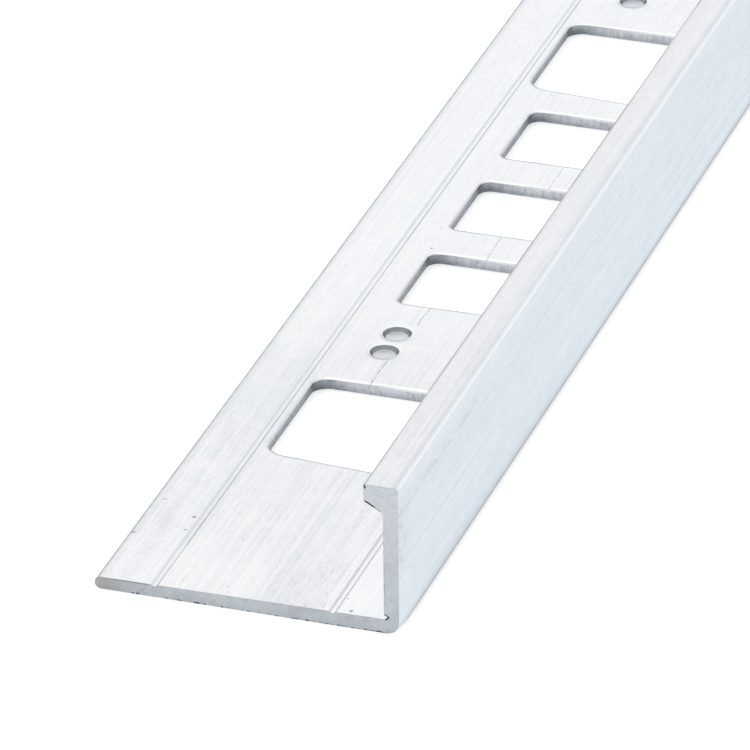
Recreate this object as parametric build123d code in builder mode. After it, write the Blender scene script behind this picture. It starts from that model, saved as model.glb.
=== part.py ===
from build123d import *
import os

os.makedirs("parts", exist_ok=True)

# A tile edge trim: one aluminium extrusion, an angle with a thin punched leg that is
# bedded under the tiles and an upright wall with a thick head that edges them.
# Millimetres. X runs across the section from the free edge to the wall, Y along the
# length and Z up. The origin is in the middle of the underside.

# the stock
trim_length = 1000.0
trim_width = 21.5

# thickness of the tile and its mortar, which the trim clears above its leg
tile_height = 10.0

# the leg, a little thinner at its free edge than at the wall
leg_at_wall = 1.05
leg_at_edge = 0.9
nose_round = 0.42

# the wall and its head, which has an upright inner face and a sloping underside
wall_thickness = 1.05
head_width = 2.4
head_face = 1.27
head_depth = 2.03
head_round = 0.12
throat_round = 0.2
ridge_round = 0.25
heel_round = 0.7

# the round relief in the inner corner, cut into the foot of the wall
relief_radius = 0.22

# two shallow grooves with leaning sides along the top of the leg
outer_groove = 4.25
inner_groove = 4.675
groove_width = 0.55
groove_floor = 0.25
groove_depth = 0.12

# the punched pattern, in the strip between the grooves: a window whose near edge leans
# towards the wall, a plain bridge, a row of smaller slots, then the next window
groove_land = 0.535
first_land = 19.05
last_land = 3.0
window_length = 12.4
window_lean = 0.95
window_corner = 1.1
window_lean_corner = 1.5
window_bridge = 12.35
slot_length = 8.15
slot_corner = 0.8
slot_setback = 1.67
slot_bridge = 3.95
slot_count = 3
group_bridge = 2.9

# places across the section, and the height of the head's top
trim_height = leg_at_wall + tile_height
edge_x = -trim_width / 2
face_x = trim_width / 2
wall_x = face_x - wall_thickness
head_x = face_x - head_width
outer_groove_x = edge_x + outer_groove
inner_groove_x = face_x - inner_groove
window_left = outer_groove_x + groove_width / 2 + groove_land
window_right = inner_groove_x - groove_width / 2 - groove_land
slot_left = window_left + slot_setback
window_width = window_right - window_left
slot_width = window_right - slot_left


def leg_top(x):
    """Height of the leg's sloping top at a place across the section."""
    share = (x - edge_x) / (wall_x - edge_x)
    return leg_at_edge + share * (leg_at_wall - leg_at_edge)


# places along the length, measured from the near end
slot_pitch = slot_length + slot_bridge
slot_row = slot_count * slot_pitch - slot_bridge
module = window_length + window_bridge + slot_row + group_bridge


def repeats(first_start, punch_length):
    """Middles of one punch's copies, a module apart, that fit wholly on the stock."""
    middles = []
    start = first_start
    while start + punch_length + last_land <= trim_length:
        middles.append(start + punch_length / 2 - trim_length / 2)
        start += module
    return middles


window_places = [
    ((window_left + window_right) / 2, y) for y in repeats(first_land, window_length)
]
slot_places = []
for number in range(slot_count):
    slot_start = first_land + window_length + window_bridge + number * slot_pitch
    for y in repeats(slot_start, slot_length):
        slot_places.append(((slot_left + window_right) / 2, y))

# one window about its own middle, with a wider round where the leaning edge meets the side
with BuildSketch() as window:
    Polygon(
        (-window_width / 2, window_lean - window_length / 2),
        (window_width / 2, -window_length / 2),
        (window_width / 2, window_length / 2),
        (-window_width / 2, window_length / 2),
        align=None,
    )
    outer_corners = window.vertices().group_by(Axis.X)[0].sort_by(Axis.Y)
    wall_corners = window.vertices().group_by(Axis.X)[-1]
    fillet([outer_corners[-1]] + list(wall_corners), radius=window_corner)
    fillet(window.vertices().sort_by_distance(outer_corners[0])[0], radius=window_lean_corner)

with BuildPart() as edge_trim:
    # the extruded section
    with BuildSketch(Plane.XZ.offset(-trim_length / 2)) as section:
        with BuildLine():
            Polyline(
                (edge_x, 0),
                (face_x, 0),
                (face_x, trim_height),
                (head_x, trim_height),
                (head_x, trim_height - head_face),
                (wall_x, trim_height - head_depth),
                (wall_x, leg_at_wall),
                (edge_x, leg_at_edge),
                close=True,
            )
        make_face()
        corners = section.vertices()
        left_to_right = corners.group_by(Axis.X)
        fillet(left_to_right[0], radius=nose_round)
        fillet(left_to_right[1], radius=head_round)
        fillet(left_to_right[2].sort_by(Axis.Y)[-1], radius=throat_round)
        fillet(left_to_right[3].sort_by(Axis.Y)[0], radius=heel_round)
        fillet(left_to_right[3].sort_by(Axis.Y)[-1], radius=ridge_round)
        for groove_x in (outer_groove_x, inner_groove_x):
            left, right = groove_x - groove_width / 2, groove_x + groove_width / 2
            floor = leg_top(groove_x) - groove_depth
            Polygon(
                (left, leg_top(left)),
                (groove_x - groove_floor / 2, floor),
                (groove_x + groove_floor / 2, floor),
                (right, leg_top(right)),
                (right, leg_at_wall + groove_depth),
                (left, leg_at_wall + groove_depth),
                align=None,
                mode=Mode.SUBTRACT,
            )
        with Locations((wall_x, leg_at_wall + relief_radius)):
            Circle(relief_radius, mode=Mode.SUBTRACT)
    extrude(amount=trim_length)

    # the windows and slots, punched right through the leg
    with BuildSketch(Plane.XY) as punches:
        with Locations(*window_places):
            add(window.sketch)
        with Locations(*slot_places):
            RectangleRounded(slot_width, slot_length, slot_corner)
    extrude(amount=2 * leg_at_wall, mode=Mode.SUBTRACT)

edge_trim.part.label = "edge_trim"
export_step(edge_trim.part, "parts/edge_trim.step")
print("window pitch", round(module, 2), "windows", len(window_places), "slots", len(slot_places))
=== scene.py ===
import bpy
import bmesh
import numpy as np
from mathutils import Matrix


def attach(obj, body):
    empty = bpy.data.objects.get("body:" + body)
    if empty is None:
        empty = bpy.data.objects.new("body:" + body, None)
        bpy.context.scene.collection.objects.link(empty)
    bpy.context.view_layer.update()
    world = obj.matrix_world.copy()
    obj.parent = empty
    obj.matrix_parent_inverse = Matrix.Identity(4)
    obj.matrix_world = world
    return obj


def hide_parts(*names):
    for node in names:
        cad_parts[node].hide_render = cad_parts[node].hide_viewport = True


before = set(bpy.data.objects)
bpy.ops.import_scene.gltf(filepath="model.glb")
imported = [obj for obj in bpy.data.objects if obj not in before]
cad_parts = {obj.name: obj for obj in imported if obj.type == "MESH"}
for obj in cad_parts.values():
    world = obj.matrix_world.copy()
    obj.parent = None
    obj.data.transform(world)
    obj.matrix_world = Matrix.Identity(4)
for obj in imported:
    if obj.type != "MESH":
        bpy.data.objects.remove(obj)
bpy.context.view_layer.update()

mm = 0.001

# the drawn section, in millimetres: x from the leg's free edge to the wall, z up
section = {
    "length": 1000.0,
    "width": 21.5,
    "tile": 10.0,
    "legAtWall": 1.05,
    "legAtEdge": 0.9,
    "noseRound": 0.42,
    "wall": 1.05,
    "head": 2.4,
    "headFace": 1.27,
    "headDepth": 2.03,
    "headRound": 0.12,
    "throatRound": 0.2,
    "ridgeRound": 0.25,
    "heelRound": 0.4,
    "filedHeel": 0.85,   # the heel's round at the sawn ends
    "filedRun": 2.0,     # how far along the length it is filed
    "reliefLand": 0.06,  # the narrow V in the inner corner: where it starts past the wall's face,
    "reliefApex": (0.278, 0.19),    # its deepest line, past the wall's face and above the leg,
    "reliefHeight": 0.31,           # how high it reaches up the wall,
    "reliefRounds": (0.02, 0.03, 0.02),  # and the rounds of its three corners
    "outerGroove": 4.25,
    "innerGroove": 4.675,
    "grooveWidth": 0.55,
    "grooveFloor": 0.25,
    "grooveDepth": 0.12,
    "grooveRound": 0.05,
    "arcSteps": 6,
    "arcHold": 0.03,     # the longest straight bit kept at each end of an arc
    "stations": 51,      # places along the length where the section is repeated
    "endBreak": 0.03,    # the broken edge round each sawn end
    "weld": 0.0003,      # points closer than this become one
    "sharpAngle": 32,    # edges that turn by more than this many degrees stay sharp
}

# the punched pattern along the leg
punching = {
    "grooveLand": 0.535,
    "firstLand": 19.05,
    "lastLand": 3.0,
    "windowLength": 12.4,
    "windowLean": 0.95,  # the near edge falls by this much from the outer side to the wall side
    "windowCorner": 1.1,
    "leanCorner": 1.5,
    "windowBridge": 12.35,
    "slotLength": 8.15,
    "slotCorner": 0.8,
    "slotSetback": 1.67,
    "slotBridge": 3.95,
    "slotCount": 3,
    "groupBridge": 2.9,
    "bandMargin": 0.47,  # how far the band round the holes runs past a window, short of a groove
    "blockMargin": 0.6,  # and past each hole along the length
    "halfArcSteps": 4,
    "runAcross": 8,
    "runAlong": 6,
    # the edge of a hole from the leg's top down: how far outside the hole, how far below
    # the top, and how much of the ragged break shows there
    "rollOver": [(0.4, 0.0, 0.0), (0.28, 0.01, 0.0), (0.17, 0.03, 0.0), (0.07, 0.058, 0.2),
                 (0.02, 0.085, 0.7), (0.0, 0.13, 1.0), (0.0, 0.2, 0.6)],
    # how strongly the painted light of the edge, highlight on far edges and shade on near
    # ones, shows on each of these
    "rollPaintedLight": [0.0, 0.4, 0.9, 1.0, 1.0, 1.0, 1.0],
    # and from the underside up: how far outside, how far above the underside
    "breakOut": [(0.02, 0.52, 0.8), (0.07, 0.28, 1.0), (0.12, 0.06, 0.5), (0.15, 0.0, 0.0)],
    "ragged": 0.02,
    "ragWaves": (3, 17),  # how many waves of the break run round a hole: from this many to under this
    "ragSum": 1.7,       # the sum of three sines is divided by this
    "seed": 11,
    "cornerReach": 2.0,  # how far the painted shade of a far corner spreads along its walls
}

# two plain round dimples pressed into the bridge after each window
dimples = {
    "across": -2.35,     # from the middle of the section
    "along": [36.3, 39.15],
    "radius": 1.02,
    "blockHalf": 1.35,
    "nearRound": 0.999,  # its corner radius over its half width, so that its runs have a length
    "lipSlope": 0.0075,  # the lip rises towards the wall like the leg,
    "lipDrop": 0.01,     # on the rings that lie no deeper than this
    "steepRings": (4, 7),  # from this ring to under this one the finish is sheared
    # outside the dimple's rim, below the leg's top
    "rings": [(0.32, 0.0), (0.2, -0.02), (0.1, -0.03), (0.02, 0.0), (-0.04, 0.1),
              (-0.1, 0.22), (-0.2, 0.29), (-0.34, 0.3), (-0.7, 0.3), (-1.02, 0.3)],
    # the painted light of each ring, times its side along the length: highlight on one side, shade on the
    # other
    "paintedLightSides": [0.2, 0.8, 1.0, 0.6, -0.3, -0.4, -0.3, 0.0, 0.0, 0.0],
}

edgeX = -section["width"] / 2
faceX = section["width"] / 2
wallX = faceX - section["wall"]
headX = faceX - section["head"]
topZ = section["legAtWall"] + section["tile"]
outerGrooveX = edgeX + section["outerGroove"]
innerGrooveX = faceX - section["innerGroove"]
halfGroove = section["grooveWidth"] / 2
windowLeft = outerGrooveX + halfGroove + punching["grooveLand"]
windowRight = innerGrooveX - halfGroove - punching["grooveLand"]
slotLeft = windowLeft + punching["slotSetback"]
bandLeft = windowLeft - punching["bandMargin"]
bandRight = windowRight + punching["bandMargin"]
slotPitch = punching["slotLength"] + punching["slotBridge"]
slotRow = punching["slotCount"] * slotPitch - punching["slotBridge"]
modulePitch = punching["windowLength"] + punching["windowBridge"] + slotRow + punching["groupBridge"]
nearEnd = -section["length"] / 2 + section["endBreak"]
farEnd = -nearEnd
tiny = 1e-9        # less than any length here
samePlace = 1e-6   # points of a cap's outline closer than this are one


def legTop(x):
    # height of the leg's top: straight from the thinner free edge to the foot of the wall
    share = (x - edgeX) / (wallX - edgeX)
    return section["legAtEdge"] + share * (section["legAtWall"] - section["legAtEdge"])


def underside(x):
    return 0 * x


def unit(vectors):
    return vectors / np.linalg.norm(vectors, axis=-1, keepdims=True)


def threes(x, y, z):
    # points from their places across, along and up
    return np.stack(np.broadcast_arrays(x, y, z), axis=-1)


def roundedChain(corners):
    # each inner corner (x, z, radius) becomes the arc of that radius tangent to both
    # straight runs: centre = corner + bisector * radius / sin(half angle), and the arc is
    # swept between its two tangent points; a short straight bit is kept at each end of an
    # arc so that the flats beside it shade flat
    corners = np.array(corners, float)
    points, radius = corners[:, :2], corners[1:-1, 2]
    middle = points[1:-1]
    back, ahead = points[:-2] - middle, points[2:] - middle
    backRun, aheadRun = np.linalg.norm(back, axis=1), np.linalg.norm(ahead, axis=1)
    back, ahead = unit(back), unit(ahead)
    half = 0.5 * np.arccos(np.clip((back * ahead).sum(1), -1, 1))
    reach = radius / np.tan(half)
    centre = middle + unit(back + ahead) * (radius / np.sin(half))[:, None]
    start = middle + back * reach[:, None]
    end = middle + ahead * reach[:, None]
    sweep = (np.pi - 2 * half)[:, None]
    share = np.linspace(0, 1, section["arcSteps"] + 1)
    fromStart = np.sin((1 - share) * sweep) / np.sin(sweep)
    fromEnd = np.sin(share * sweep) / np.sin(sweep)
    arc = (centre[:, None] + fromStart[..., None] * (start - centre)[:, None]
           + fromEnd[..., None] * (end - centre)[:, None])
    padded = np.concatenate([[0], reach, [0]])
    room = np.concatenate([backRun, aheadRun[-1:]]) - padded[:-1] - padded[1:]
    hold = np.minimum(section["arcHold"], room / 4)
    before = start + back * hold[:-1, None]
    after = end + ahead * hold[1:, None]
    chain = np.concatenate([before[:, None], arc, after[:, None]], axis=1).reshape(-1, 2)
    return np.concatenate([points[:1], chain, points[-1:]])


def grooveCorners(middleX):
    # a groove with leaning sides cut into the leg's top: down, across and up again
    left, right = middleX - halfGroove, middleX + halfGroove
    floor, halfFloor = legTop(middleX) - section["grooveDepth"], section["grooveFloor"] / 2
    r = section["grooveRound"]
    return [(left, legTop(left), r), (middleX - halfFloor, floor, r),
            (middleX + halfFloor, floor, r), (right, legTop(right), r)]


# the skin is gathered here, surface by surface, and welded at the end
skin = {"points": [], "paintedLightSide": [], "corner": [], "faces": [], "finish": [], "count": 0}
drawn, sawn, sheared, paintedShadow = 0, 1, 2, 3    # the finishes, in the order of the skin's materials


def keepFaces(points, faces, finish, paintedLightSide=0.0, corner=0.0):
    # faces are numbered from the first of these points; paintedLightSide and corner mark the
    # places on holes where highlight and shade are painted
    skin["points"].append(points.reshape(-1, 3))
    for name, value in (("paintedLightSide", paintedLightSide), ("corner", corner)):
        skin[name].append(np.broadcast_to(value, points.shape[:-1]).reshape(-1).astype(np.float32))
    faces = np.asarray(faces) + skin["count"]
    skin["faces"].extend(faces.tolist())
    skin["finish"].append(np.broadcast_to(finish, len(faces)).astype(np.int32))
    skin["count"] += points.size // 3


def keepGrids(grids, finish=drawn, ringed=False, paintedLightSide=0.0, corner=0.0):
    # grids is (how many, rows, columns, 3); each cell between four neighbours is one face,
    # and a ringed grid joins its last column to its first
    many, rows, columns = grids.shape[:3]
    number = np.arange(many * rows * columns).reshape(many, rows, columns)
    if ringed:
        number = np.concatenate([number, number[:, :, :1]], axis=2)
    near, far = number[:, :-1], number[:, 1:]
    faces = np.stack([near[..., :-1], near[..., 1:], far[..., 1:], far[..., :-1]], axis=-1)
    faceFinish = np.broadcast_to(np.reshape(finish, (-1, 1)), faces.shape[:3]).reshape(-1)
    keepFaces(grids, faces.reshape(-1, 4), faceFinish, paintedLightSide, corner)


def drawnSurface(chain, stations, filed=None):
    # surface(s, t): point s of the section carried straight along the length to station t,
    # and moved towards its filed place by one minus its distance from the end over the run
    filed = chain if filed is None else filed
    share = np.interp(farEnd - np.abs(stations), [0, section["filedRun"]], [1, 0])
    place = chain[:, None] + share[None, :, None] * (filed - chain)[:, None]
    return threes(place[..., 0], stations, place[..., 1])[None]


def zipStrip(sparse, dense):
    # joins two straight lines that run side by side, each given by x, its places along and z:
    # each step of the closely stepped line reaches to the nearest point of the other, and
    # each step of the other to the point where that nearest one changes
    few, many = sparse[1], dense[1]
    near = np.searchsorted((few[1:] + few[:-1]) / 2, (many[1:] + many[:-1]) / 2)
    step = np.arange(len(many) - 1)
    offset = len(few)
    fromDense = np.stack([offset + step, offset + step + 1, near], axis=1)
    span = np.arange(len(few) - 1)
    change = np.searchsorted(near, span, side="right")
    fromSparse = np.stack([span, span + 1, offset + change], axis=1)
    points = np.concatenate([threes(*sparse), threes(*dense)])
    keepFaces(points, np.concatenate([fromDense, fromSparse]), drawn)


def outlineSide(along, out, radii, run, turn):
    # one side of a round-cornered rectangle, from the middle of one corner's arc to the
    # middle of the next: half an arc, a straight run, half an arc; turn names the side
    lean = np.linspace(-np.pi / 4, 0, punching["halfArcSteps"] + 1)
    back = lean[::-1][1:]
    first, last = radii
    start, stop = first - along, along - last
    s = np.concatenate([start + first * np.sin(lean), np.linspace(start, stop, run + 1)[1:],
                        stop - last * np.sin(back)])
    m = np.concatenate([out - first + first * np.cos(lean), np.full(run, out),
                        out - last + last * np.cos(back)])
    return {"near": (s, -m), "right": (m, s), "far": (-s, m), "left": (-m, -s)}[turn]


def outline(halfAcross, halfAlong, radii, sides=False):
    # a round-cornered rectangle about its middle, anticlockwise from its near left corner,
    # as are its four radii
    radii = np.broadcast_to(radii, 4)
    walk = []
    for k, turn in enumerate(("near", "right", "far", "left")):
        along, out, run = halfAcross, halfAlong, punching["runAcross"]
        if turn in ("right", "left"):
            along, out, run = halfAlong, halfAcross, punching["runAlong"]
        walk.append(np.stack(outlineSide(along, out, (radii[k], radii[(k + 1) % 4]), run, turn), axis=1))
    return walk if sides else np.concatenate([w[:-1] for w in walk])


def shareOf(values):
    return (values - values[0]) / (values[-1] - values[0])


windowRadii = np.array([punching["leanCorner"]] + 3 * [punching["windowCorner"]])
windowSides = outline((windowRight - windowLeft) / 2, punching["windowLength"] / 2, windowRadii, True)
acrossX = bandLeft + shareOf(windowSides[0][:, 0]) * (bandRight - bandLeft)


def blockBorder(sides, halfLength):
    # the rectangle round a hole, with one point for each point of the hole's outline; its
    # points across are the same on every block, so that blocks and plain strips meet
    alongY = -halfLength + shareOf(sides[1][:, 1]) * 2 * halfLength
    wide, long = np.ones(len(acrossX) - 1), np.ones(len(alongY) - 1)
    x = np.concatenate([acrossX[:-1], bandRight * long, acrossX[:0:-1], bandLeft * long])
    y = np.concatenate([-halfLength * wide, alongY[:-1], halfLength * wide, alongY[:0:-1]])
    return np.stack([x, y], axis=1), alongY


def placed(ring, middleX, middlesY):
    # one copy of a ring about each middle, at the height of the underside
    return threes(middleX + ring[:, 0], middlesY[:, None] + ring[:, 1], 0.0)


def holeBlocks(middleX, middlesY, halfAcross, halfAlong, radii, lean, dice):
    # surface(r, a): ring r runs round the hole at angle step a. The rings go from the
    # block's border over the rolled edge, down the sheared wall and out to the underside's
    # border; each ring is the hole's outline moved out by its own offset, with its near edge
    # leant: a place moves on by lean times its share towards the outer side times its share
    # towards the near edge. The ragged break is a sum of three sines round the hole, the
    # painted light side is the outline's outward direction along the length, for a painted
    # highlight on the far edge and painted shade on the near edge, and the corner mark, for
    # painted shade in the far corners, falls off as e to minus the square of the distance
    # from a far corner over its reach
    halfBlock = halfAlong + punching["blockMargin"]
    border, alongY = blockBorder(outline(halfAcross, halfAlong, radii, True), halfBlock)
    angle = np.linspace(0, 2 * np.pi, len(border), endpoint=False)
    many = len(middlesY)
    waves = dice.integers(*punching["ragWaves"], (3, many, 1))
    phases = dice.uniform(0, 2 * np.pi, (3, many, 1))
    rag = punching["ragged"] * np.sin(waves * angle + phases).sum(0) / punching["ragSum"]

    def ringAt(offset):
        ring = outline(halfAcross + offset, halfAlong + offset, radii + offset)
        outer = (halfAcross - ring[:, 0]) / (2 * halfAcross)
        near = (halfAlong - ring[:, 1]) / (2 * halfAlong)
        ring[:, 1] += lean * np.clip(outer, 0, 1) * np.clip(near, 0, 1)
        return placed(ring, middleX, middlesY)

    hole = ringAt(0.0)[0]
    outward = ringAt(0.1)[0, :, 1] - hole[:, 1]
    outward /= np.abs(outward).max()
    fromSide = halfAcross - np.abs(hole[:, 0] - middleX)
    fromFar = halfAlong - (hole[:, 1] - middlesY[0])
    corner = np.exp(-(fromSide ** 2 + fromFar ** 2) / punching["cornerReach"] ** 2)
    top = placed(border, 0.0, middlesY)
    top[..., 2] = legTop(top[..., 0])
    rings, paintedLightSides = [top], [0.0]
    for (offset, drop, share), paintedLightSide in zip(punching["rollOver"], punching["rollPaintedLight"]):
        here = ringAt(offset)
        here[..., 2] = legTop(here[..., 0]) - drop - share * rag
        rings.append(here)
        paintedLightSides.append(paintedLightSide)
    for offset, rise, share in punching["breakOut"]:
        here = ringAt(offset)
        here[..., 2] = rise + share * rag * (rise > 0)
        rings.append(here)
        paintedLightSides.append(1.0)
    rings.append(placed(border, 0.0, middlesY))
    paintedLightSides.append(0.0)
    rolled = len(punching["rollOver"])
    finish = np.full(len(rings) - 1, drawn)
    finish[rolled - 1:-1] = sheared
    keepGrids(np.stack(rings, axis=1), finish, True, np.array(paintedLightSides)[None, :, None] * outward, corner)
    return [(y - halfBlock, y + halfBlock, alongY + y) for y in middlesY]


def dimpleBlocks(middlesY):
    # surface(r, a): rings round the dimple, from the block's border over the raised lip and
    # down to a flat floor, closed at its middle
    r, almost, half = dimples["radius"], dimples["nearRound"], dimples["blockHalf"]
    border, alongY = blockBorder(outline(r, r, r * almost, True), half)
    top = placed(border, 0.0, middlesY)
    top[..., 2] = legTop(top[..., 0])
    rings = [top]
    for offset, drop in dimples["rings"]:
        size = max(r + offset, 0)
        ring = outline(size, size, size * almost)
        here = placed(ring, dimples["across"], middlesY)
        lift = dimples["lipSlope"] * ring[:, 0] * (drop <= dimples["lipDrop"])
        here[..., 2] = legTop(dimples["across"]) - drop + lift
        rings.append(here)
    finish = np.full(len(rings) - 1, drawn)
    finish[slice(*dimples["steepRings"])] = sheared
    # where highlight and shade are painted round the dimple: each ring's painted light times its side along
    # the length
    paintedLightSides = np.array([0.0] + dimples["paintedLightSides"])[None, :, None] * outline(1, 1, almost)[:, 1]
    keepGrids(np.stack(rings, axis=1), finish, True, paintedLightSides)
    return [(y - half, y + half, alongY + y) for y in middlesY]


def repeats(firstStart, punchLength):
    # middles of one punch's copies, a module apart, that fit wholly on the stock
    last = section["length"] - punching["lastLand"] - punchLength
    starts = np.arange(firstStart, last + tiny, modulePitch)
    return starts + punchLength / 2 - section["length"] / 2


def plainStrips(blocks, height):
    # the flat strips between one block and the next: straight across, one cell long
    edges = [nearEnd] + [v for near, far, _ in blocks for v in (near, far)] + [farEnd]
    edges = np.array(edges).reshape(-1, 2)
    keepGrids(threes(acrossX, edges[:, :, None], height(acrossX)))
    # the places of all its points along the length, each once
    return np.unique(np.round(np.concatenate([[nearEnd, farEnd]] + [b[2] for b in blocks]), 9))


def cap(outlineXZ, sign):
    # a sawn end: the section's outline drawn in by the broken edge and closed flat; each
    # point moves in along the mean of its two edges' normals; the sign of the outline's area
    # says which way is in
    ahead = unit(np.roll(outlineXZ, -1, axis=0) - outlineXZ)
    tangent = unit(ahead + np.roll(ahead, 1, axis=0))
    inward = np.stack([-tangent[:, 1], tangent[:, 0]], axis=1)
    x, z = outlineXZ.T
    way = np.sign(np.sum(x * np.roll(z, -1) - np.roll(x, -1) * z))
    rim = np.insert(outlineXZ, 1, sign * farEnd, axis=1)
    inner = outlineXZ + inward * section["endBreak"] * way
    face = np.insert(inner, 1, sign * section["length"] / 2, axis=1)
    keepGrids(np.stack([rim, face])[None], sawn, ringed=True)
    keepFaces(face, [np.arange(len(face))], sawn)


def newObject(name, data):
    made = bpy.data.objects.new(name, data)
    bpy.context.scene.collection.objects.link(made)
    return made


def buildTrim():
    dice = np.random.default_rng(punching["seed"])
    stripLeft = (outerGrooveX + halfGroove + bandLeft) / 2
    stripRight = (innerGrooveX - halfGroove + bandRight) / 2
    nose, head = section["noseRound"], section["headRound"]
    outerStrip = roundedChain(
        [(stripLeft, 0, 0), (edgeX, 0, nose), (edgeX, section["legAtEdge"], nose)]
        + grooveCorners(outerGrooveX) + [(stripLeft, legTop(stripLeft), 0)])
    foot, apex = section["legAtWall"], section["reliefApex"]

    def wallChain(heel):
        land, deepest, high = section["reliefRounds"]
        return roundedChain(
            [(stripRight, legTop(stripRight), 0)] + grooveCorners(innerGrooveX)
            + [(wallX + section["reliefLand"], foot, land), (wallX + apex[0], foot + apex[1], deepest),
               (wallX, foot + section["reliefHeight"], high),
               (wallX, topZ - section["headDepth"], section["throatRound"]),
               (headX, topZ - section["headFace"], head), (headX, topZ, head),
               (faceX, topZ, section["ridgeRound"]), (faceX, 0, heel), (stripRight, 0, 0)])

    wallStrip, filedStrip = wallChain(section["heelRound"]), wallChain(section["filedHeel"])
    filedStep = section["filedRun"] * np.array([0.5, 1.0])
    stations = np.sort(np.concatenate([np.linspace(nearEnd, farEnd, section["stations"]),
                                       nearEnd + filedStep, farEnd - filedStep]))
    keepGrids(drawnSurface(outerStrip, stations))
    # the relief's upper side gets painted shadow: its deepest corner is the chain's sixth, after the
    # groove's four and the one on the land, and each corner has its arc and two held points
    perCorner = section["arcSteps"] + 3
    darkFrom = 5 * perCorner + 2
    wallFinish = np.full(len(wallStrip) - 1, drawn)
    wallFinish[darkFrom:darkFrom + perCorner] = paintedShadow
    keepGrids(drawnSurface(wallStrip, stations, filedStrip), wallFinish)
    print("stage 2: drawn strips,", len(outerStrip) + len(wallStrip), "points round the section")

    windows = repeats(punching["firstLand"], punching["windowLength"])
    holes = holeBlocks((windowLeft + windowRight) / 2, windows, (windowRight - windowLeft) / 2,
                       punching["windowLength"] / 2, windowRadii, punching["windowLean"], dice)
    slots = np.sort(np.concatenate([
        repeats(punching["firstLand"] + punching["windowLength"] + punching["windowBridge"] + n * slotPitch,
                punching["slotLength"]) for n in range(punching["slotCount"])]))
    holes += holeBlocks((slotLeft + windowRight) / 2, slots, (windowRight - slotLeft) / 2,
                        punching["slotLength"] / 2, punching["slotCorner"], 0.0, dice)
    apart = dimples["along"][1] - dimples["along"][0]
    pairs = repeats(dimples["along"][0], apart)
    pressed = np.sort(np.concatenate([pairs - apart / 2, pairs + apart / 2]))
    marks = dimpleBlocks(pressed)
    print("stage 3:", len(windows), "windows,", len(slots), "slots,", len(pressed), "dimples")

    topY = plainStrips(sorted(holes + marks, key=lambda b: b[0]), legTop)
    underY = plainStrips(sorted(holes, key=lambda b: b[0]), underside)
    for height, y in ((legTop, topY), (underside, underY)):
        for strip, band in ((stripLeft, bandLeft), (stripRight, bandRight)):
            zipStrip((strip, stations, height(strip)), (band, y, height(band)))
    topBand = np.stack([acrossX, legTop(acrossX)], axis=1)
    underBand = np.stack([acrossX[::-1], 0 * acrossX], axis=1)
    ring = np.concatenate([outerStrip, topBand, filedStrip, underBand])
    step = np.linalg.norm(ring - np.roll(ring, 1, axis=0), axis=1)
    ring = ring[step > samePlace]
    cap(ring, -1)
    cap(ring, 1)

    mesh = bpy.data.meshes.new("edgeTrimSkin")
    mesh.from_pydata((np.concatenate(skin["points"]) * mm).tolist(), [], skin["faces"])
    mesh.polygons.foreach_set("material_index", np.concatenate(skin["finish"]))
    for name in ("paintedLightSide", "corner"):
        mesh.attributes.new(name, "FLOAT", "POINT").data.foreach_set("value", np.concatenate(skin[name]))
    work = bmesh.new()
    work.from_mesh(mesh)
    bmesh.ops.remove_doubles(work, verts=work.verts, dist=section["weld"] * mm)
    bmesh.ops.recalc_face_normals(work, faces=work.faces)
    loose = sum(1 for e in work.edges if not e.is_manifold)
    work.to_mesh(mesh)
    work.free()
    mesh.polygons.foreach_set("use_smooth", np.ones(len(mesh.polygons), bool))
    mesh.set_sharp_from_angle(angle=np.radians(section["sharpAngle"]))
    trim = newObject("edgeTrimSkin", mesh)
    mesh.calc_loop_triangles()
    print("stage 4: skin welded,", len(mesh.vertices), "points,", len(mesh.loop_triangles), "triangles,",
          loose, "open edges")
    return trim


# A mark is a colour laid over the metal, or a tint that the metal is multiplied by. Its
# share, its grain and the ramps on the places that it keeps to are multiplied. A grain is
# its stretch on each axis, size in millimetres, detail and roughness, then its ramp. A
# ramp is two values, then the shares at both.


def rising(low, high):
    return [(low, high, 0.0, 1.0)]


def falling(low, high):
    return [(low, high, 1.0, 0.0)]


def banded(low, high, soft):
    # full between low and high, fading out within soft on both sides
    return rising(low - soft, low) + falling(high, high + soft)


onLeg = falling(1.3, 1.6)
onGrooves = banded(0.72, 1.2, 0.04)
onHead = {"share": 0.9, "z": rising(topZ - 0.05, topZ - 0.02)}
onOuterFace = rising(faceX - 0.03, faceX - 0.005)
wearGrain = ((1, 8, 1), 0.8, 2, 0.6, (0.3, 0.6, 0.45, 0.95))

# the drawn metal itself, before its marks
drawnMetal = {
    "pale": (0.985, 0.98, 0.985),
    "shade": (0.69, 0.705, 0.73),
    "shadeRamp": (0.38, 0.6),
    # die lines, fine lines and grit: stretch along the length, size, detail, roughness, share
    "lines": [(150, 0.21, 2, 0.65, 0.33), (9, 0.12, 2, 0.6, 0.17), (1, 0.12, 3, 0.7, 0.5)],
    # the lines calm down beyond the handled end and on the outer face, to an even level
    "calmShare": 0.42,
    "calmAlong": (10.0, 30.0),
    "calmOuter": (faceX - 0.1, faceX - 0.02),
    "calmLevel": 0.515,
    "roughRamp": (0.3, 0.7, 0.28, 0.46),
    "bump": (0.35, 0.035),
    "smudgeX": 2.9,      # the middle of the smudge at the near end, across
    "cleanRamp": (3.5, 8.0, 0.28, 0.0),
    "cleanLess": 0.6,    # how much less clean the metal is under the smudge
    "ridgeInset": 0.05,  # the painted highlight lies this far inside the head's outer corner
    # painted reflection and shade: a bluish tint on the wall's outer face, darker towards its head
    "outerReflectionLow": (0.898, 0.95, 0.995),    # the wall's outer face is tinted from its foot
    "outerReflectionHigh": (0.848, 0.893, 0.938),  # to its head
    "outerRamp": (3.0, 7.0),
}
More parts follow.
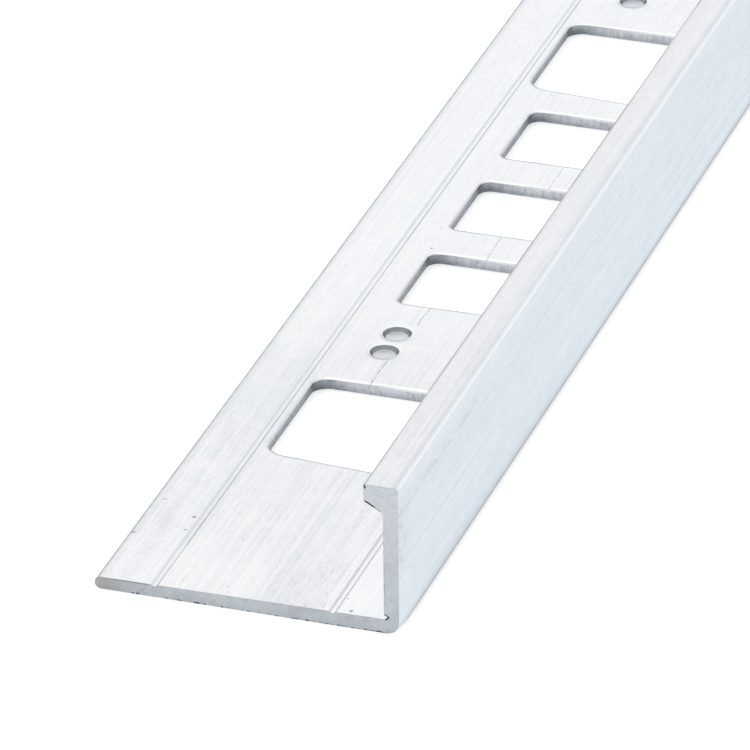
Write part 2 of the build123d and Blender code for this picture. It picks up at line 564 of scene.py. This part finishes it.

# clouds all over, lighter and darker places near the end, and painted light on the rims of
# the holes: a highlight on the far rims, shade on the near ones
legMarks = {
    "coolClouds": {"colour": (0.83, 0.87, 0.89),
                   "grain": ((1, 1.8, 1), 3.6, 3, 0.6, (0.45, 0.68, 0.0, 0.45))},
    "warmClouds": {"colour": (0.955, 0.92, 0.93),
                   "grain": ((1, 1.5, 1), 1.44, 3, 0.65, (0.46, 0.68, 0.0, 0.5))},
    "scored": {"colour": (0.5, 0.54, 0.58), "share": 0.2,
               "grain": ((1, 300, 1), 0.22, 1, 0.5, (0.66, 0.71))},
    "clean": {"colour": (1.0, 1.0, 1.0), "clean": rising(0.0, 1.0), "z": onLeg},
    "corner": {"colour": (1.0, 1.0, 1.0), "share": 0.42, "x": banded(6.0, wallX, 1.3),
               "along": falling(7.5, 11.5), "z": onLeg},
    "smudge": {"tint": (0.955, 0.965, 0.975), "smudge": rising(0.0, 1.0)},
    "beyond": {"colour": (0.965, 0.995, 1.0), "share": 0.28, "along": rising(33.0, 42.0), "z": onLeg},
    "handled": {"tint": (0.955, 0.975, 0.975), "along": banded(23.0, 31.0, 6.0),
                "x": falling(-7.5, -5.5), "z": onLeg},
    "shortScratches": {"colour": (0.42, 0.46, 0.5), "grain": ((1, 14, 1), 0.13, 1, 0.5, (0.6, 0.75)),
                       "x": banded(3.0, 5.2, 0.8), "along": [(5.0, 9.0, 0.55, 0.1)]},
    # painted highlight on the far rims of holes and dimples, painted shade on the near ones
    "farRimHighlight": {"colour": (1.0, 1.0, 1.0), "paintedLightSide": [(0.1, 0.8, 0.0, 0.95)]},
    "nearRimShade": {"colour": (0.5, 0.54, 0.58), "paintedLightSide": [(-0.1, -0.9, 0.0, 0.9)]},
    "scratches": {"colour": (0.5, 0.53, 0.56), "share": 0.25,
                  "grain": ((1, 14, 1), 0.14, 1, 0.4, (0.7, 0.76))},
}
smudgeMark = {"fromSmudge": falling(1.0, 3.2), "along": falling(4.0, 8.0)}

# the head's top with its darker bands, a painted highlight on the ridge, scuffs on the outer
# face, and painted shade on the edges: the head's inner one, the leg's rounded nose and free edge, and the
# heel
wallMarks = {
    "headTop": {"tint": (0.955, 0.965, 0.978), **onHead},
    "inward": {"tint": (0.85, 0.855, 0.865), **onHead, "x": falling(headX + 0.05, headX + 0.4)},
    "band": {"tint": (0.92, 0.93, 0.945), **onHead, "x": banded(faceX - 0.55, faceX - 0.23, 0.08)},
    "valley": {"tint": (0.9, 0.905, 0.915), **onHead, "x": banded(faceX - 0.33, faceX - 0.26, 0.06)},
    # painted highlight along the ridge
    "ridgeHighlight": {"colour": (0.95, 0.975, 1.0), "share": 0.9, "fromRidge": falling(0.1, 0.19)},
    "scuffs": {"colour": (0.46, 0.53, 0.57), "grain": ((1, 4, 1), 0.25, 3, 0.65, (0.42, 0.65, 0.0, 0.65)),
               "x": onOuterFace, "along": falling(0.6, 2.8), "z": banded(5.4, 9.0, 1.5)},
    "rubbed": {"colour": (0.46, 0.53, 0.57), "grain": ((1, 3, 1), 0.3, 3, 0.65, (0.45, 0.65, 0.0, 0.55)),
               "x": onOuterFace, "along": banded(3.5, 16.0, 3.0), "z": banded(9.0, 9.3, 0.4)},
    # painted shade on the head's inner edge, the leg's rounded nose and free edge, and the heel
    "innerEdgeShade": {"colour": (0.3, 0.315, 0.33), "grain": wearGrain, "fromInnerEdge": falling(0.07, 0.19)},
    "nose": {"colour": (0.36, 0.4, 0.43), "grain": ((1, 1.5, 1), 0.4, 2, 0.6, (0.3, 0.6, 0.35, 1.0)),
             "x": falling(edgeX + 0.22, edgeX + 0.4)},
    "freeEdgeShade": {"colour": (0.58, 0.62, 0.65), "share": 0.35, "x": falling(edgeX + 0.35, edgeX + 0.8)},
    "heel": {"colour": (0.13, 0.15, 0.19), "z": falling(0.2, 0.55), "x": rising(faceX - 0.5, faceX - 0.2),
             "along": [(0.5, 4.0, 0.4, 1.0)]},
}

# painted shade on the two sides of a groove, by the distance from its middle: cool grey-blue
# on the side towards the free edge, darker and broken by grain on the side towards the wall
grooveShadeMarks = {
    "pale": {"colour": (0.87, 0.93, 0.98), "share": 0.55, "fromGroove": banded(-0.25, -0.13, 0.05),
             "z": onGrooves},
    "dull": {"colour": (0.46, 0.51, 0.57), "share": 0.75, "fromGroove": banded(0.12, 0.28, 0.04),
             "z": onGrooves, "grain": wearGrain},
}

# painted shade on the floors of the dimples, and small pits all over
dimpleShadeAndPits = {
    "dimpleFloorShade": {"tint": (0.84, 0.86, 0.88), "z": banded(0.6, 0.74, 0.03)},
    "pits": {"colour": (0.4, 0.42, 0.45), "share": 0.45, "grain": ((1, 1.5, 1), 0.3, 1, 0.4, (0.77, 0.8))},
}

# dents and specks on the leg: across, along from the near end, half width, how dark
dents = {
    "places": [(-7.08, 9.68, 0.16, 0.8), (-7.08, 7.79, 0.13, 0.75), (-9.85, 11.5, 0.2, 0.3),
               (-10.35, 6.5, 0.2, 0.5), (7.28, 0.42, 0.15, 0.65), (6.3, 0.78, 0.1, 0.5),
               (6.5, 1.96, 0.08, 0.4), (-2.88, 7.65, 0.09, 0.4), (-4.72, 3.31, 0.08, 0.35),
               (-4.16, 52.48, 0.1, 0.9), (-4.55, 55.8, 0.1, 0.35)],
    "colour": (0.16, 0.18, 0.2),
    "edge": (0.6, 1.1),  # where its edge fades, in half widths
    "ragged": 0.6,       # how far the grit moves the edge, in half widths
    "grit": (0.3, 0.7),
    "z": rising(0.6, 0.7) + falling(1.3, 1.4),
}

# painted shade on the rolled upper edges of the sides of the holes, and on the near edges,
# bent down; "drop" is how far a place lies below the leg's top
rimShadeMarks = {
    "rolled": {"tint": (0.82, 0.85, 0.87), "drop": rising(0.02, 0.06) + falling(0.13, 0.17),
               "x": banded(windowLeft - 0.4, windowRight + 0.4, 0.02), "paintedLightSize": falling(0.1, 0.4)},
    "bent": {"tint": (0.6, 0.64, 0.67), "paintedLightSide": banded(-0.85, -0.3, 0.1), "drop": rising(0.02, 0.06),
             "z": rising(0.5, 0.6)},
}

# one broken hairline that steps sideways over the first bridges
hairline = {
    "colour": (0.12, 0.125, 0.14),
    "steps": [(37.0, 39.0, -1.75, -1.35), (47.0, 49.0, 0.0, 1.5), (59.0, 61.0, 0.0, 0.9)],
    "wander": ((50, 1, 50), 2.2, 1, 0.4),
    "sway": (0.0, 1.0, -0.13, 0.13),
    "edge": (0.015, 0.045),
    "dashes": ((50, 1, 50), 0.5, 2, 0.6),
    "gaps": (0.4, 0.5, 0.15, 1.0),
    "runs": [(31.5, 35.1, 0.2), (40.9, 68.4, 0.2)],
    "fade": (36.0, 55.0, 0.8, 0.5),
}

# a sawn end: its metal, then the marks under the saw lines, in them and over them
sawnMetal = {
    "pale": (0.575, 0.612, 0.645),
    "shade": (0.47, 0.5, 0.53),
    "smear": (1.6, 3, 0.6),
    "smearRamp": (0.35, 0.65),
    "fuzz": (0.14, 2, 0.6),
    "rough": 0.5,
    "bump": (0.2, 0.03),
}
sawnGround = {
    "upTheWall": {"colour": (0.63, 0.66, 0.695), "z": rising(0.9, 10.0)},
    "fuzz": {"colour": (0.575, 0.612, 0.645), "fuzz": [(0.4, 0.65, 0.0, 0.4)]},
    "dull": {"colour": (0.42, 0.44, 0.46), "grain": ((1.5, 1, 1), 0.5, 3, 0.7, (0.48, 0.66, 0.0, 0.3))},
    "dots": {"colour": (0.36, 0.39, 0.41), "grain": ((1, 1, 1), 0.2, 3, 0.75, (0.53, 0.68)),
             "z": [(0.9, 1.6, 0.6, 0.35)]},
}
sawLines = {
    "turns": [(42, 0.65), (-52, 0.45)],  # degrees, and how strongly
    "grain": ((1, 1, 12), 0.15, 1, 0.5),
    "marks": {
        "light": {"colour": (0.75, 0.77, 0.79), "share": 0.3, "saw": rising(0.66, 0.72),
                  "z": [(0.9, 1.6, 1.0, 0.3)]},
        "deep": {"colour": (0.35, 0.37, 0.4), "saw": rising(0.32, 0.27), "z": [(0.9, 1.6, 1.0, 0.3)]},
    },
}
sawnOver = {
    "towardsTip": {"colour": (0.36, 0.385, 0.41), "share": 0.4, "x": falling(-9.0, -6.2)},
    "upperEdge": {"colour": (0.2, 0.215, 0.23), "z": rising(0.8, 0.86), "x": banded(-9.4, -7.2, 0.5),
                  "fuzz": [(0.4, 0.6, 0.3, 0.8)]},
    "stainedTip": {"colour": (0.4, 0.41, 0.37), "share": 0.8, "x": falling(-9.9, -8.8)},
    "specks": {"colour": (0.25, 0.27, 0.3), "share": 0.5, "grain": ((1, 1, 1), 0.22, 1, 0.4, (0.75, 0.79))},
    "wallEdge": {"colour": (0.2, 0.215, 0.23), "share": 0.8, "x": falling(wallX + 0.03, wallX + 0.1),
                 "z": banded(2.2, 6.4, 0.8), "grain": ((1, 1, 2), 0.35, 2, 0.6, (0.4, 0.68, 0.2, 1.0))},
}
legFoot = section["legAtWall"]
# dark burrs along the sawn edges, painted black as their shade, and painted shadow round the relief and
# under the head
burrsAndShadow = {
    "colour": (0.015, 0.018, 0.025),
    "share": 0.96,
    # the ragged line along the underside: its grain, how far it reaches up, where it shows
    "grain": ((1, 1, 8), 0.3, 3, 0.7),
    "reach": (0.45, 0.8, 0.0, 0.13),
    "often": (-1.0, 6.5, 0.6, 0.45),
    "edge": (0.025, 0.06),
    "shortOfHeel": (9.6, 10.2),
    # spots: x, z, how much they are flattened, and where their edges fade
    "spots": [(-7.7, 0.0, 1.0, 0.1, 0.14), (-3.6, 0.0, 1.0, 0.1, 0.14),
              (headX + 0.06, topZ - 0.12, 0.8, 0.06, 0.09), (headX + 0.12, topZ - 0.24, 0.8, 0.05, 0.08)],
    # straight strokes: start, end, half width; one underneath, two round the relief as painted shadow
    "strokes": [((9.16, 0.05), (9.5, 0.05), 0.07),
                ((wallX + 0.02, legFoot + 0.345), (wallX + 0.35, legFoot + 0.2), 0.06),
                ((wallX + 0.35, legFoot + 0.2), (wallX + 0.11, legFoot - 0.01), 0.06)],
    "strokeSoft": (0.02, 0.03),
    # painted shadow under the head: the direction off its slope, then each stretch's depth and heights
    "underHead": (0.505, 0.863),
    "stretches": [((0.12, 0.18), (9.5, 9.8)), ((0.06, 0.1), (9.2, 9.6))],
    "stretchSoft": 0.06,
}

# the sheared walls of the holes: paler above, a rough break below, painted shade on the side
# walls, a painted highlight on the lip at the far wall's top and painted shade in the far corners
shearedMetal = {
    "pale": (0.64, 0.667, 0.698),
    "break": (0.567, 0.594, 0.632),
    "breakRamp": (0.26, 0.46),
    "breakWave": (0.2, 0.8, -0.22, 0.22),
    "drag": ((1, 1, 5), 0.28, 3, 0.65),
    "patch": ((1, 1, 0.7), 0.8, 3, 0.65),
    "rough": 0.4,
    "bump": (0.3, 0.04),
}
shearedMarks = {
    "dragged": {"colour": (0.2, 0.225, 0.26), "drag": [(0.45, 0.65, 0.0, 0.35)]},
    "patches": {"colour": (0.2, 0.225, 0.26), "patch": [(0.54, 0.66, 0.0, 0.3)]},
    # painted shade on the side walls, a painted highlight on the far wall's lip, painted shade in the far
    # corners
    "sides": {"tint": (0.62, 0.63, 0.65), "paintedLightSide": falling(0.2, 0.9)},
    "lipHighlight": {"colour": (0.95, 0.97, 1.0), "z": rising(0.7, 0.8), "x": [(-2.5, 1.0, 0.0, 0.7)],
            "paintedLightSide": rising(0.5, 0.9)},
    "corners": {"tint": (0.46, 0.5, 0.52), "corner": rising(0.0, 1.0), "z": [(0.35, 0.85, 1.0, 0.5)]},
}

# painted shadow in the relief: near black, mottled by a grain
reliefMetal = {
    "paintedShadow": (0.02, 0.023, 0.03),
    "lighter": (0.08, 0.085, 0.095),
    "grain": ((1, 20, 1), 0.5, 2, 0.5),
    "ramp": (0.35, 0.65),
    "rough": 0.6,
}


def newMaterial(name):
    made = bpy.data.materials.new(name)
    made.use_nodes = True
    made.node_tree.nodes.clear()
    return made, made.node_tree


def newNode(tree, kind, inputs, **settings):
    # the outputs of a new node, its settings made and its inputs linked or given a value
    node = tree.nodes.new("ShaderNode" + kind)
    for name, value in settings.items():
        setattr(node, name, value)
    for name, value in inputs.items():
        socket = node.inputs[name]
        if isinstance(value, bpy.types.NodeSocket):
            tree.links.new(value, socket)
        else:
            socket.default_value = (*value, 1) if socket.type == "RGBA" else value
    return node.outputs


def spread(tree, value, low, high, toLow=0.0, toHigh=1.0):
    return newNode(tree, "MapRange", {"Value": value, "From Min": low, "From Max": high,
                                      "To Min": toLow, "To Max": toHigh})["Result"]


def combine(tree, kind, a, b=0.0):
    return newNode(tree, "Math", {0: a, 1: b}, operation=kind)["Value"]


def minus(tree, a, b):
    return combine(tree, "SUBTRACT", a, b)


def joined(tree, kind, values):
    total = values[0]
    for value in values[1:]:
        total = combine(tree, kind, total, value)
    return total


def product(tree, *values):
    return joined(tree, "MULTIPLY", values)


def blend(tree, factor, a, b, kind="MIX"):
    return newNode(tree, "Mix", {0: factor, 6: a, 7: b}, data_type="RGBA", blend_type=kind)[2]


def placesOf(tree):
    # where a point is: across, along from the near end and up, in millimetres
    vector = newNode(tree, "TexCoord", {})["Object"]
    x, y, z = [product(tree, out, 1 / mm) for out in newNode(tree, "SeparateXYZ", {"Vector": vector})]
    return {"object": vector, "x": x, "along": combine(tree, "ADD", y, section["length"] / 2), "z": z}


def holeMark(tree, name):
    # paintedLightSide is 1 on the far edge of a hole, where a highlight is painted, -1 on its
    # near edge, where shade is painted, and 0 elsewhere; corner is 1 in a hole's far corners,
    # where shade is painted
    return newNode(tree, "Attribute", {}, attribute_name=name)["Fac"]


def grain(tree, places, stretch, size, detail, rough, turn=0.0):
    # noise whose marks are about this many millimetres across, turned about the length by
    # this many degrees and made longer on each axis
    vector = newNode(tree, "Mapping", {"Vector": places["object"], "Scale": stretch,
                                       "Rotation": (0, np.radians(turn), 0)}, vector_type="TEXTURE")[0]
    return newNode(tree, "TexNoise", {"Vector": vector, "Scale": 1 / (size * mm), "Detail": detail,
                                      "Roughness": rough})["Fac"]


def ramped(tree, value, ramps):
    return product(tree, *[spread(tree, value, *ramp) for ramp in ramps])


def shareOfMark(tree, places, mark, strength=1.0):
    # the strength times the mark's share, its grain and each of its ramps
    shares = [strength * mark.get("share", 1.0)]
    if "grain" in mark:
        *look, ramp = mark["grain"]
        shares.append(spread(tree, grain(tree, places, *look), *ramp))
    shares += [ramped(tree, value, mark[name]) for name, value in places.items() if name in mark]
    return product(tree, *shares)


def paintMarks(tree, places, base, marks, strength=1.0):
    for mark in marks.values():
        kind, colour = ("MULTIPLY", mark["tint"]) if "tint" in mark else ("MIX", mark["colour"])
        base = blend(tree, shareOfMark(tree, places, mark, strength), base, colour, kind)
    return base


def dress(tree, base, rough, height=None, bump=None):
    # the metal's shader, with a bump of this strength and depth where a height is given
    inputs = {"Metallic": 1.0, "Base Color": base, "Roughness": rough}
    if height is not None:
        inputs["Normal"] = newNode(tree, "Bump", {"Strength": bump[0], "Distance": bump[1] * mm,
                                                  "Height": height})["Normal"]
    newNode(tree, "OutputMaterial", {"Surface": newNode(tree, "BsdfPrincipled", inputs)["BSDF"]})


def distance(tree, across, up, middleAcross, middleUp, flatten=1.0):
    # the length of the step from the middle, its second part made this many times as long
    dx = minus(tree, across, middleAcross)
    dz = product(tree, minus(tree, up, middleUp), flatten)
    return combine(tree, "SQRT", combine(tree, "ADD", product(tree, dx, dx), product(tree, dz, dz)))


def weighted(tree, a, b, shareA, shareB):
    return combine(tree, "ADD", product(tree, a, shareA), product(tree, b, shareB))


def stroke(tree, x, z, start, end, half):
    # 1 on a straight mark between two points of the section, from its middle line to half
    # its width on both sides: the distance off the line, and the distance along it
    sideSoft, endSoft = burrsAndShadow["strokeSoft"]
    run = float(np.hypot(end[0] - start[0], end[1] - start[1]))
    aheadX, aheadZ = (end[0] - start[0]) / run, (end[1] - start[1]) / run
    dx, dz = minus(tree, x, start[0]), minus(tree, z, start[1])
    off = combine(tree, "ABSOLUTE", weighted(tree, dz, dx, aheadX, -aheadZ))
    side = ramped(tree, off, falling(half - sideSoft, half + sideSoft))
    on = weighted(tree, dx, dz, aheadX, aheadZ)
    return product(tree, side, ramped(tree, on, banded(0.0, run, endSoft)))


def drawnLines(tree, places):
    # the die lines, fine lines and grit added up, drawn to an even level where it is calm
    d = drawnMetal
    grains = [grain(tree, places, (1, line[0], 1), *line[1:4]) for line in d["lines"]]
    lines = joined(tree, "ADD", [product(tree, one, line[4]) for one, line in zip(grains, d["lines"])])
    calm = combine(tree, "MAXIMUM", spread(tree, places["along"], *d["calmAlong"], 0.0, d["calmShare"]),
                   spread(tree, places["x"], *d["calmOuter"], 0.0, d["calmShare"]))
    lively = product(tree, lines, spread(tree, calm, 0.0, 1.0, 1.0, 0.0))
    return combine(tree, "ADD", lively, product(tree, calm, d["calmLevel"])), grains[-1]


def paintDents(tree, places, base, grit):
    # each dent is a round spot whose edge the grit moves in and out
    inner, outer = dents["edge"]
    onTop = ramped(tree, places["z"], dents["z"])
    for middleX, middleAlong, half, deep in dents["places"]:
        moved = dents["ragged"] * half
        away = combine(tree, "ADD", distance(tree, places["x"], places["along"], middleX, middleAlong),
                       spread(tree, grit, *dents["grit"], -moved, moved))
        spot = product(tree, ramped(tree, away, falling(inner * half, outer * half)), onTop, deep)
        base = blend(tree, spot, base, dents["colour"])
    return base


def paintHairline(tree, places, base):
    # a thin line at x = the sum of its sideways steps and a slow wander, broken into dashes
    h = hairline
    along = places["along"]
    lineX = joined(tree, "ADD", [spread(tree, along, *step) for step in h["steps"]])
    lineX = combine(tree, "ADD", lineX, spread(tree, grain(tree, places, *h["wander"]), *h["sway"]))
    off = combine(tree, "ABSOLUTE", minus(tree, places["x"], lineX))
    thin = ramped(tree, off, falling(*h["edge"]))
    dashes = spread(tree, grain(tree, places, *h["dashes"]), *h["gaps"])
    runs = joined(tree, "MAXIMUM", [ramped(tree, along, banded(*run)) for run in h["runs"]])
    share = product(tree, thin, dashes, runs, spread(tree, along, *h["fade"]))
    return blend(tree, share, base, h["colour"])


def drawnFinish():
    # drawn aluminium: die lines along the length, grit and soft clouds, then the marks of the
    # leg, the wall, the grooves, pits, dents, the rims of the holes and the hairline
    d = drawnMetal
    finish, tree = newMaterial("drawnAluminium")
    places = placesOf(tree)
    x, z = places["x"], places["z"]
    lines, grit = drawnLines(tree, places)
    base = blend(tree, spread(tree, lines, *d["shadeRamp"]), d["shade"], d["pale"])
    places["paintedLightSide"] = holeMark(tree, "paintedLightSide")
    places["fromSmudge"] = combine(tree, "ABSOLUTE", minus(tree, x, d["smudgeX"]))
    places["smudge"] = shareOfMark(tree, places, smudgeMark)
    places["clean"] = minus(tree, spread(tree, places["along"], *d["cleanRamp"]),
                            product(tree, places["smudge"], d["cleanLess"]))
    base = paintMarks(tree, places, base, legMarks)

    # painted reflection and shade on the outer face: a bluish tint, darker towards the head
    outerReflectionTint = blend(tree, spread(tree, z, *d["outerRamp"]), d["outerReflectionLow"], d["outerReflectionHigh"])
    base = blend(tree, ramped(tree, x, onOuterFace), base, outerReflectionTint, "MULTIPLY")
    places["fromRidge"] = distance(tree, x, z, faceX - d["ridgeInset"], topZ - d["ridgeInset"])
    places["fromInnerEdge"] = distance(tree, x, z, headX, topZ)
    base = paintMarks(tree, places, base, wallMarks)
    for middleX in (outerGrooveX, innerGrooveX):
        places["fromGroove"] = minus(tree, x, middleX)
        base = paintMarks(tree, places, base, grooveShadeMarks)
    base = paintMarks(tree, places, base, dimpleShadeAndPits)
    base = paintDents(tree, places, base, grit)

    slope = (section["legAtWall"] - section["legAtEdge"]) / (wallX - edgeX)
    places["drop"] = combine(tree, "ADD", weighted(tree, x, z, slope, -1.0), legTop(0.0))
    places["paintedLightSize"] = combine(tree, "ABSOLUTE", places["paintedLightSide"])
    base = paintMarks(tree, places, base, rimShadeMarks)
    base = paintHairline(tree, places, base)
    dress(tree, base, spread(tree, lines, *d["roughRamp"]), lines, d["bump"])
    return finish


def burrAndShadowShare(tree, places):
    # the darkest of the ragged line underneath, the spots, the strokes and the stretches
    # under the head: burrs painted black as their shade, and painted shadow round the relief and under the
    # head
    b = burrsAndShadow
    x, z = places["x"], places["z"]
    ragged = grain(tree, places, *b["grain"])
    edge = minus(tree, z, spread(tree, ragged, *b["reach"]))
    shown = combine(tree, "GREATER_THAN", ragged, spread(tree, x, *b["often"]))
    shares = [product(tree, ramped(tree, edge, falling(*b["edge"])), shown,
                      ramped(tree, x, falling(*b["shortOfHeel"])))]
    for *middle, inner, outer in b["spots"]:
        shares.append(ramped(tree, distance(tree, x, z, *middle), falling(inner, outer)))
    shares += [stroke(tree, x, z, *one) for one in b["strokes"]]
    throatZ = topZ - section["headFace"]
    below = weighted(tree, minus(tree, x, headX), minus(tree, z, throatZ), *b["underHead"])
    for depth, heights in b["stretches"]:
        shares.append(product(tree, ramped(tree, below, falling(*depth)),
                              ramped(tree, z, banded(*heights, b["stretchSoft"]))))
    return product(tree, joined(tree, "MAXIMUM", shares), b["share"])


def sawnFinish():
    # a sawn end: cloudy smears and faint crossing saw lines on duller metal, brighter up the
    # wall, with a stained tip, burrs painted dark as their shade, and painted shadow round the relief and
    # under the head
    s = sawnMetal
    finish, tree = newMaterial("sawnAluminium")
    places = placesOf(tree)
    smear, places["fuzz"] = [grain(tree, places, (1, 1, 1), *s[name]) for name in ("smear", "fuzz")]
    base = blend(tree, spread(tree, smear, *s["smearRamp"]), s["shade"], s["pale"])
    base = paintMarks(tree, places, base, sawnGround)
    for turn, strength in sawLines["turns"]:
        places["saw"] = grain(tree, places, *sawLines["grain"], turn)
        base = paintMarks(tree, places, base, sawLines["marks"], strength)
    base = paintMarks(tree, places, base, sawnOver)
    base = blend(tree, burrAndShadowShare(tree, places), base, burrsAndShadow["colour"])
    dress(tree, base, s["rough"], places["fuzz"], s["bump"])
    return finish


def shearedFinish():
    # the wall of a punched hole: a smooth paler zone above a rough darker break whose line
    # waves up and down, then its marks
    s = shearedMetal
    finish, tree = newMaterial("shearedAluminium")
    places = placesOf(tree)
    for name in ("drag", "patch"):
        places[name] = grain(tree, places, *s[name])
    for name in ("paintedLightSide", "corner"):
        places[name] = holeMark(tree, name)
    level = combine(tree, "ADD", places["z"], spread(tree, places["patch"], *s["breakWave"]))
    base = blend(tree, spread(tree, level, *s["breakRamp"]), s["break"], s["pale"])
    base = paintMarks(tree, places, base, shearedMarks)
    dress(tree, base, s["rough"], places["drag"], s["bump"])
    return finish


def reliefFinish():
    # the narrow relief in the inner corner, painted near black as its shadow
    r = reliefMetal
    finish, tree = newMaterial("reliefPaintedShadow")
    shadowMottle = spread(tree, grain(tree, placesOf(tree), *r["grain"]), *r["ramp"])
    dress(tree, blend(tree, shadowMottle, r["paintedShadow"], r["lighter"]), r["rough"])
    return finish


trim = buildTrim()
for make in (drawnFinish, sawnFinish, shearedFinish, reliefFinish):
    trim.data.materials.append(make())
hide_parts("edge_trim")
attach(trim, "root")
print("stage 5: finishes set")

# the studio: a white floor, an even pale surround, and three soft panels: behind, overhead,
# and a low cool one that the head's ridge mirrors
studio = {
    "floorHalf": 6.0,
    "floorColour": (0.95, 0.95, 0.95),
    "floorLift": 0.46,       # how much of the floor's white shows through its shadow
    "mirrorLift": 0.3,       # and how much of it the metal mirrors
    "surround": (0.77, 0.779, 0.787),
    "panels": [{"place": (-0.97, 2.84, 1.6), "size": 2.6, "power": 6.0, "colour": (1.0, 1.0, 1.0)},
               {"place": (-0.5, 0.0, 1.9), "size": 1.2, "power": 2.4, "colour": (1.0, 1.0, 1.0)},
               {"place": (1.41, 2.0, 0.84), "size": 1.5, "power": 1.5, "colour": (0.72, 0.86, 1.0)}],
}


def facing(right, up, ahead, place):
    # the matrix of something that looks ahead from its place, with its own right and up
    return Matrix([[right[i], up[i], -ahead[i], place[i]] for i in range(3)] + [[0, 0, 0, 1]])


def buildStudio():
    half = studio["floorHalf"]
    mesh = bpy.data.meshes.new("floor")
    mesh.from_pydata([(-half, -half, 0), (half, -half, 0), (half, half, 0), (-half, half, 0)], [],
                     [(0, 1, 2, 3)])
    floor = newObject("floor", mesh)
    paint, tree = newMaterial("floorPaint")
    rays = newNode(tree, "LightPath", {})
    mirrored = combine(tree, "MAXIMUM", rays["Is Glossy Ray"], rays["Is Transmission Ray"])
    lift = combine(tree, "MAXIMUM", product(tree, rays["Is Camera Ray"], studio["floorLift"]),
                   product(tree, mirrored, studio["mirrorLift"]))
    matt = newNode(tree, "BsdfDiffuse", {"Color": studio["floorColour"]})["BSDF"]
    white = newNode(tree, "Emission", {"Strength": lift})["Emission"]
    both = newNode(tree, "AddShader", {0: matt, 1: white})["Shader"]
    newNode(tree, "OutputMaterial", {"Surface": both})
    mesh.materials.append(paint)
    world = bpy.data.worlds.new("surround")
    bpy.context.scene.world = world
    world.use_nodes = True
    pale = world.node_tree.nodes["Background"].inputs
    pale["Color"].default_value = (*studio["surround"], 1)
    pale["Strength"].default_value = 1.0
    for number, one in enumerate(studio["panels"]):
        lamp = bpy.data.lights.new("panel%d" % number, "AREA")
        lamp.shape = "SQUARE"
        lamp.size = one["size"]
        lamp.energy = one["power"]
        lamp.color = one["colour"]
        panel = newObject("panel%d" % number, lamp)
        place = np.array(one["place"])
        ahead = unit(-place)
        right = unit(np.cross(ahead, (0, 0, 1)))
        panel.matrix_world = facing(right, np.cross(right, ahead), ahead, place)


# the viewpoint: a long lens close over the near end
view = {
    "azimuth": 18.7733,
    "elevation": 27.9444,
    "roll": -0.6235,
    "place": (0.1665188, -0.9626468, 0.2785339),
    "lens": 406.579,
    "sensor": 36,
    "clip": (0.05, 50),
}


def placeCamera():
    a, e, r = np.radians([view["azimuth"], view["elevation"], view["roll"]])
    right = np.array([np.cos(a), np.sin(a), 0])
    ahead = np.array([-np.sin(a) * np.cos(e), np.cos(a) * np.cos(e), -np.sin(e)])
    up = np.cross(right, ahead)
    right, up = np.cos(r) * right + np.sin(r) * up, -np.sin(r) * right + np.cos(r) * up
    lens = bpy.data.cameras.new("camera")
    lens.lens = view["lens"]
    lens.sensor_width = view["sensor"]
    lens.clip_start, lens.clip_end = view["clip"]
    camera = newObject("camera", lens)
    camera.matrix_world = facing(right, up, ahead, view["place"])
    bpy.context.scene.camera = camera


buildStudio()
placeCamera()
bpy.context.scene.view_settings.view_transform = "Standard"
print("stage 6: studio and camera set")
